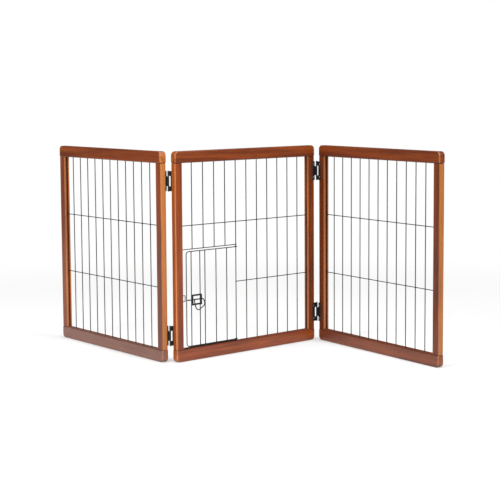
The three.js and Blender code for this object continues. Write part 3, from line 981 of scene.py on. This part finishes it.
def hinge_screw(name, moving, end):
    """A domed screw. Its head's height over the seat is 0.95 - 0.055 r^2 for the radius r, less
    the cross recess, which is 0.55 deep where r < 1.45 and the point is within 0.3 of either
    arm's middle line, with soft edges."""
    side, z, _ = HINGES[name]
    h = hardware()
    seat = LEAF_LOW + h.leaf_thickness + 0.1
    shank = np.array([(0.2, LEAF_LOW + 0.05), (1.15, LEAF_LOW + 0.05), (1.15, seat - 0.02),
                      (1.25, seat), (2.6, seat), (2.7, seat + 0.12), (2.66, seat + 0.3)])
    r = np.concatenate([np.linspace(2.5, 1.6, 5), np.linspace(1.5, 0.1, 15)])
    r = np.concatenate([shank[:, 0], r])
    dome = seat + 0.95 - 0.055 * r ** 2 - 0.25 * np.clip((r - 2.1) / 0.5, 0, 1) ** 2
    height = np.concatenate([shank[:, 1], dome[len(shank):]])
    a = np.linspace(0, 2 * math.pi, 56, endpoint=False) + 0.3
    u, v = r[:, None] * np.cos(a), r[:, None] * np.sin(a)

    def soft(value, low, high):
        share = np.clip((value - low) / (high - low), 0, 1)
        return share * share * (3 - 2 * share)

    arms = np.maximum(1 - soft(np.abs(u), 0.2, 0.42), 1 - soft(np.abs(v), 0.2, 0.42))
    recess = arms * (1 - soft(r[:, None], 1.25, 1.6))
    recess[:len(shank)] = 0.0
    points = np.stack([u + h.hinge_reach + h.leaf_width / 2,
                       height[:, None] - 0.55 * recess,
                       v + (-1 if end == "lower" else 1) * h.screw_pitch / 2], axis=-1)
    turning = np.stack(np.broadcast_arrays(r[:, None], np.cos(a)[None], np.sin(a)[None]), axis=-1)
    kind = "moving" if moving else "fixed"
    shell = Shell()
    shell.patch(leaf_place(points, side, moving, z), recess=recess, turning=turning)
    node = f"{name}_{kind}_{end}_screw"
    shell.piece(f"shaped_{node}", node, finish_look("screw_steel"), 50)


# ---- Stage ----
def area_light(name, place, aim, size, power, tint=(1.0, 1.0, 1.0)):
    data = bpy.data.lights.new(name, "AREA")
    data.shape, data.size, data.size_y, data.energy, data.color = "RECTANGLE", *size, power, tint
    made = bpy.data.objects.new(name, data)
    bpy.context.scene.collection.objects.link(made)
    made.location = place
    direction = np.array(place, float) - np.array(aim, float)
    direction /= np.linalg.norm(direction)
    right = np.cross(Z_AXIS, direction)
    right /= np.linalg.norm(right)
    up = np.cross(direction, right)
    back = Matrix(np.stack([right, up, direction], axis=1).tolist())
    made.rotation_euler = back.to_euler()
    return made


def floor_look():
    """Pale matt floor with a very faint unevenness, which glows into the white backdrop
    towards its rim."""
    look = Look("pale_floor")
    shade = bpy.context.scene.gate_finish.floor
    place = look.place()
    patch = look.noise(place, 3.0, 4.0)
    away = look.node("ShaderNodeVectorMath", {"operation": "LENGTH"}, {0: place}, output=1)
    rim = away.step(0.7, 2.3)
    darker = tuple(0.985 * c for c in shade)
    look.set(Base_Color=look.mix(rim, look.mix(patch, shade, darker), (0.0, 0.0, 0.0)),
             Roughness=0.75 + 0.1 * patch,
             Emission_Color=look.mix(rim, (0.30, 0.30, 0.30), (1.0, 1.0, 1.0)))
    look.shader.inputs["Emission Strength"].default_value = 1.0
    look.shader.inputs["Specular IOR Level"].default_value = 0.0
    return look.material


def floor():
    """A flat floor as a disc: point = (r cos a, r sin a), just under the gate's feet."""
    radius, a = np.meshgrid([0.0, 1.2, 3.4], np.linspace(0, 2 * math.pi, 65), indexing="ij")
    points = np.stack([radius * np.cos(a), radius * np.sin(a), np.full_like(a, -0.0002)], axis=-1)
    rows, columns = a.shape
    index = np.arange(rows * columns).reshape(rows, columns)
    quads = np.stack([index[:-1, :-1], index[1:, :-1], index[1:, 1:], index[:-1, 1:]], axis=-1)
    mesh = bpy.data.meshes.new("floor")
    mesh.from_pydata(points.reshape(-1, 3).tolist(), [], quads.reshape(-1, 4).tolist())
    mesh.materials.append(floor_look())
    made = bpy.data.objects.new("floor", mesh)
    bpy.context.scene.collection.objects.link(made)


def surroundings():
    """A white backdrop to look at, which lights the gate only softly: the room beyond the floor
    is dimmer than what is seen of it, as round a white sweep in a studio."""
    world = bpy.data.worlds.new("soft_white")
    world.use_nodes = True
    nodes, links = world.node_tree.nodes, world.node_tree.links
    seen, room = nodes["Background"], nodes.new("ShaderNodeBackground")
    seen.inputs["Color"].default_value = (1.0, 1.0, 1.0, 1.0)
    room.inputs["Color"].default_value = (1.0, 0.98, 0.96, 1.0)
    room.inputs["Strength"].default_value = 0.12
    path, mix = nodes.new("ShaderNodeLightPath"), nodes.new("ShaderNodeMixShader")
    links.new(path.outputs["Is Camera Ray"], mix.inputs[0])
    links.new(room.outputs[0], mix.inputs[1])
    links.new(seen.outputs[0], mix.inputs[2])
    links.new(mix.outputs[0], nodes["World Output"].inputs[0])
    bpy.context.scene.world = world


VIEW_PLACE = (-2.5666, -3.0582, 0.7985)
VIEW_YAW, VIEW_PITCH, VIEW_ROLL = -0.7013, -0.0970, -0.0063
VIEW_LENS, VIEW_SHIFT = 96.61, -0.07


def viewpoint():
    """The camera: forward is (-sin y cos p, cos y cos p, sin p) for the yaw y and pitch p, and
    right and up are turned by the roll about it."""
    data = bpy.data.cameras.new("view")
    data.sensor_width, data.lens, data.shift_y = 36.0, VIEW_LENS, VIEW_SHIFT
    data.clip_start, data.clip_end = 0.05, 60.0
    made = bpy.data.objects.new("view", data)
    bpy.context.scene.collection.objects.link(made)
    y, p, r = VIEW_YAW, VIEW_PITCH, VIEW_ROLL
    forward = np.array([-math.sin(y) * math.cos(p), math.cos(y) * math.cos(p), math.sin(p)])
    right = np.array([math.cos(y), math.sin(y), 0.0])
    up = np.cross(right, forward)
    right, up = math.cos(r) * right + math.sin(r) * up, math.cos(r) * up - math.sin(r) * right
    made.matrix_world = Matrix.Translation(VIEW_PLACE) @ Matrix(
        np.stack([right, up, -forward], axis=1).tolist()).to_4x4()
    bpy.context.scene.camera = made


# ---- Operators ----
class GATE_OT_rails(bpy.types.Operator):
    """Builds the six rails"""
    bl_idname = "pet_gate.rails"
    bl_label = "Rails"

    def execute(self, context):
        for panel in PANELS:
            for which in ("top", "bottom"):
                rail_shape(panel, which)
        return {"FINISHED"}


class GATE_OT_stiles(bpy.types.Operator):
    """Builds the six stiles"""
    bl_idname = "pet_gate.stiles"
    bl_label = "Stiles"

    def execute(self, context):
        for panel in PANELS:
            for which in ("left", "right"):
                stile_shape(panel, which)
        return {"FINISHED"}


class GATE_OT_grids(bpy.types.Operator):
    """Builds the three wire grids"""
    bl_idname = "pet_gate.grids"
    bl_label = "Wire grids"

    def execute(self, context):
        side_grid("left")
        middle_grid()
        side_grid("right")
        return {"FINISHED"}


class GATE_OT_door(bpy.types.Operator):
    """Builds the wire pet door"""
    bl_idname = "pet_gate.door"
    bl_label = "Pet door"

    def execute(self, context):
        pet_door()
        return {"FINISHED"}


class GATE_OT_latch(bpy.types.Operator):
    """Builds the latch: its guide, bolt and keeper"""
    bl_idname = "pet_gate.latch"
    bl_label = "Latch"

    def execute(self, context):
        latch_guide()
        latch_bolt()
        latch_keeper()
        return {"FINISHED"}


class GATE_OT_hinges(bpy.types.Operator):
    """Builds the hinge leaves and pins"""
    bl_idname = "pet_gate.hinges"
    bl_label = "Hinges"

    def execute(self, context):
        for name in HINGES:
            hinge_leaf(name, False)
            hinge_leaf(name, True)
            hinge_pin(name)
        return {"FINISHED"}


class GATE_OT_screws(bpy.types.Operator):
    """Builds the hinge screws"""
    bl_idname = "pet_gate.screws"
    bl_label = "Screws"

    def execute(self, context):
        for name in HINGES:
            for moving in (False, True):
                for end in ("lower", "upper"):
                    hinge_screw(name, moving, end)
        return {"FINISHED"}


class GATE_OT_stage(bpy.types.Operator):
    """Sets up the floor, the soft lights and the view"""
    bl_idname = "pet_gate.stage"
    bl_label = "Stage"

    def execute(self, context):
        floor()
        surroundings()
        context.scene.view_settings.view_transform = "Standard"
        aim = (0.0, 0.0, 0.3)
        area_light("view_softbox", (-3.1, -3.1, 1.6), aim, (1.8, 2.0), 75.0)
        area_light("front_softbox", (0.6, -3.0, 2.6), aim, (2.2, 1.6), 105.0)
        area_light("left_softbox", (-3.2, 0.2, 2.7), aim, (1.6, 1.6), 115.0)
        area_light("top_softbox", (0.2, 0.2, 3.6), aim, (3.2, 3.2), 130.0)
        viewpoint()
        if context.scene.camera is None:
            raise RuntimeError("the view was not set up")
        return {"FINISHED"}


STEPS = (GATE_OT_rails, GATE_OT_stiles, GATE_OT_grids, GATE_OT_door, GATE_OT_latch,
         GATE_OT_hinges, GATE_OT_screws, GATE_OT_stage)


class GATE_PT_panel(bpy.types.Panel):
    """Lists the gate's sizes, finishes and build steps"""
    bl_idname = "GATE_PT_panel"
    bl_label = "Pet gate"
    bl_space_type = "VIEW_3D"
    bl_region_type = "UI"
    bl_category = "Pet gate"

    def draw(self, context):
        for group in ("gate_frame", "gate_wire", "gate_hardware", "gate_finish"):
            holder = getattr(context.scene, group)
            box = self.layout.box()
            for key in holder.bl_rna.properties.keys():
                if key not in ("rna_type", "name"):
                    box.prop(holder, key)
        for step in STEPS:
            self.layout.operator(step.bl_idname)


GROUPS = {"gate_frame": GateFrameSizes, "gate_wire": GateWireSizes,
          "gate_hardware": GateHardwareSizes, "gate_finish": GateFinish}


def register():
    for group in GROUPS.values():
        bpy.utils.register_class(group)
    for step in STEPS + (GATE_PT_panel,):
        bpy.utils.register_class(step)
    for name, group in GROUPS.items():
        setattr(bpy.types.Scene, name, bpy.props.PointerProperty(type=group))


def unregister():
    for name in GROUPS:
        delattr(bpy.types.Scene, name)
    for step in STEPS + (GATE_PT_panel,):
        bpy.utils.unregister_class(step)
    for group in GROUPS.values():
        bpy.utils.unregister_class(group)


def main():
    register()
    bpy.ops.pet_gate.rails()
    bpy.ops.pet_gate.stiles()
    bpy.ops.pet_gate.grids()
    bpy.ops.pet_gate.door()
    bpy.ops.pet_gate.latch()
    bpy.ops.pet_gate.hinges()
    bpy.ops.pet_gate.screws()
    bpy.ops.pet_gate.stage()


if __name__ == "__main__":
    main()
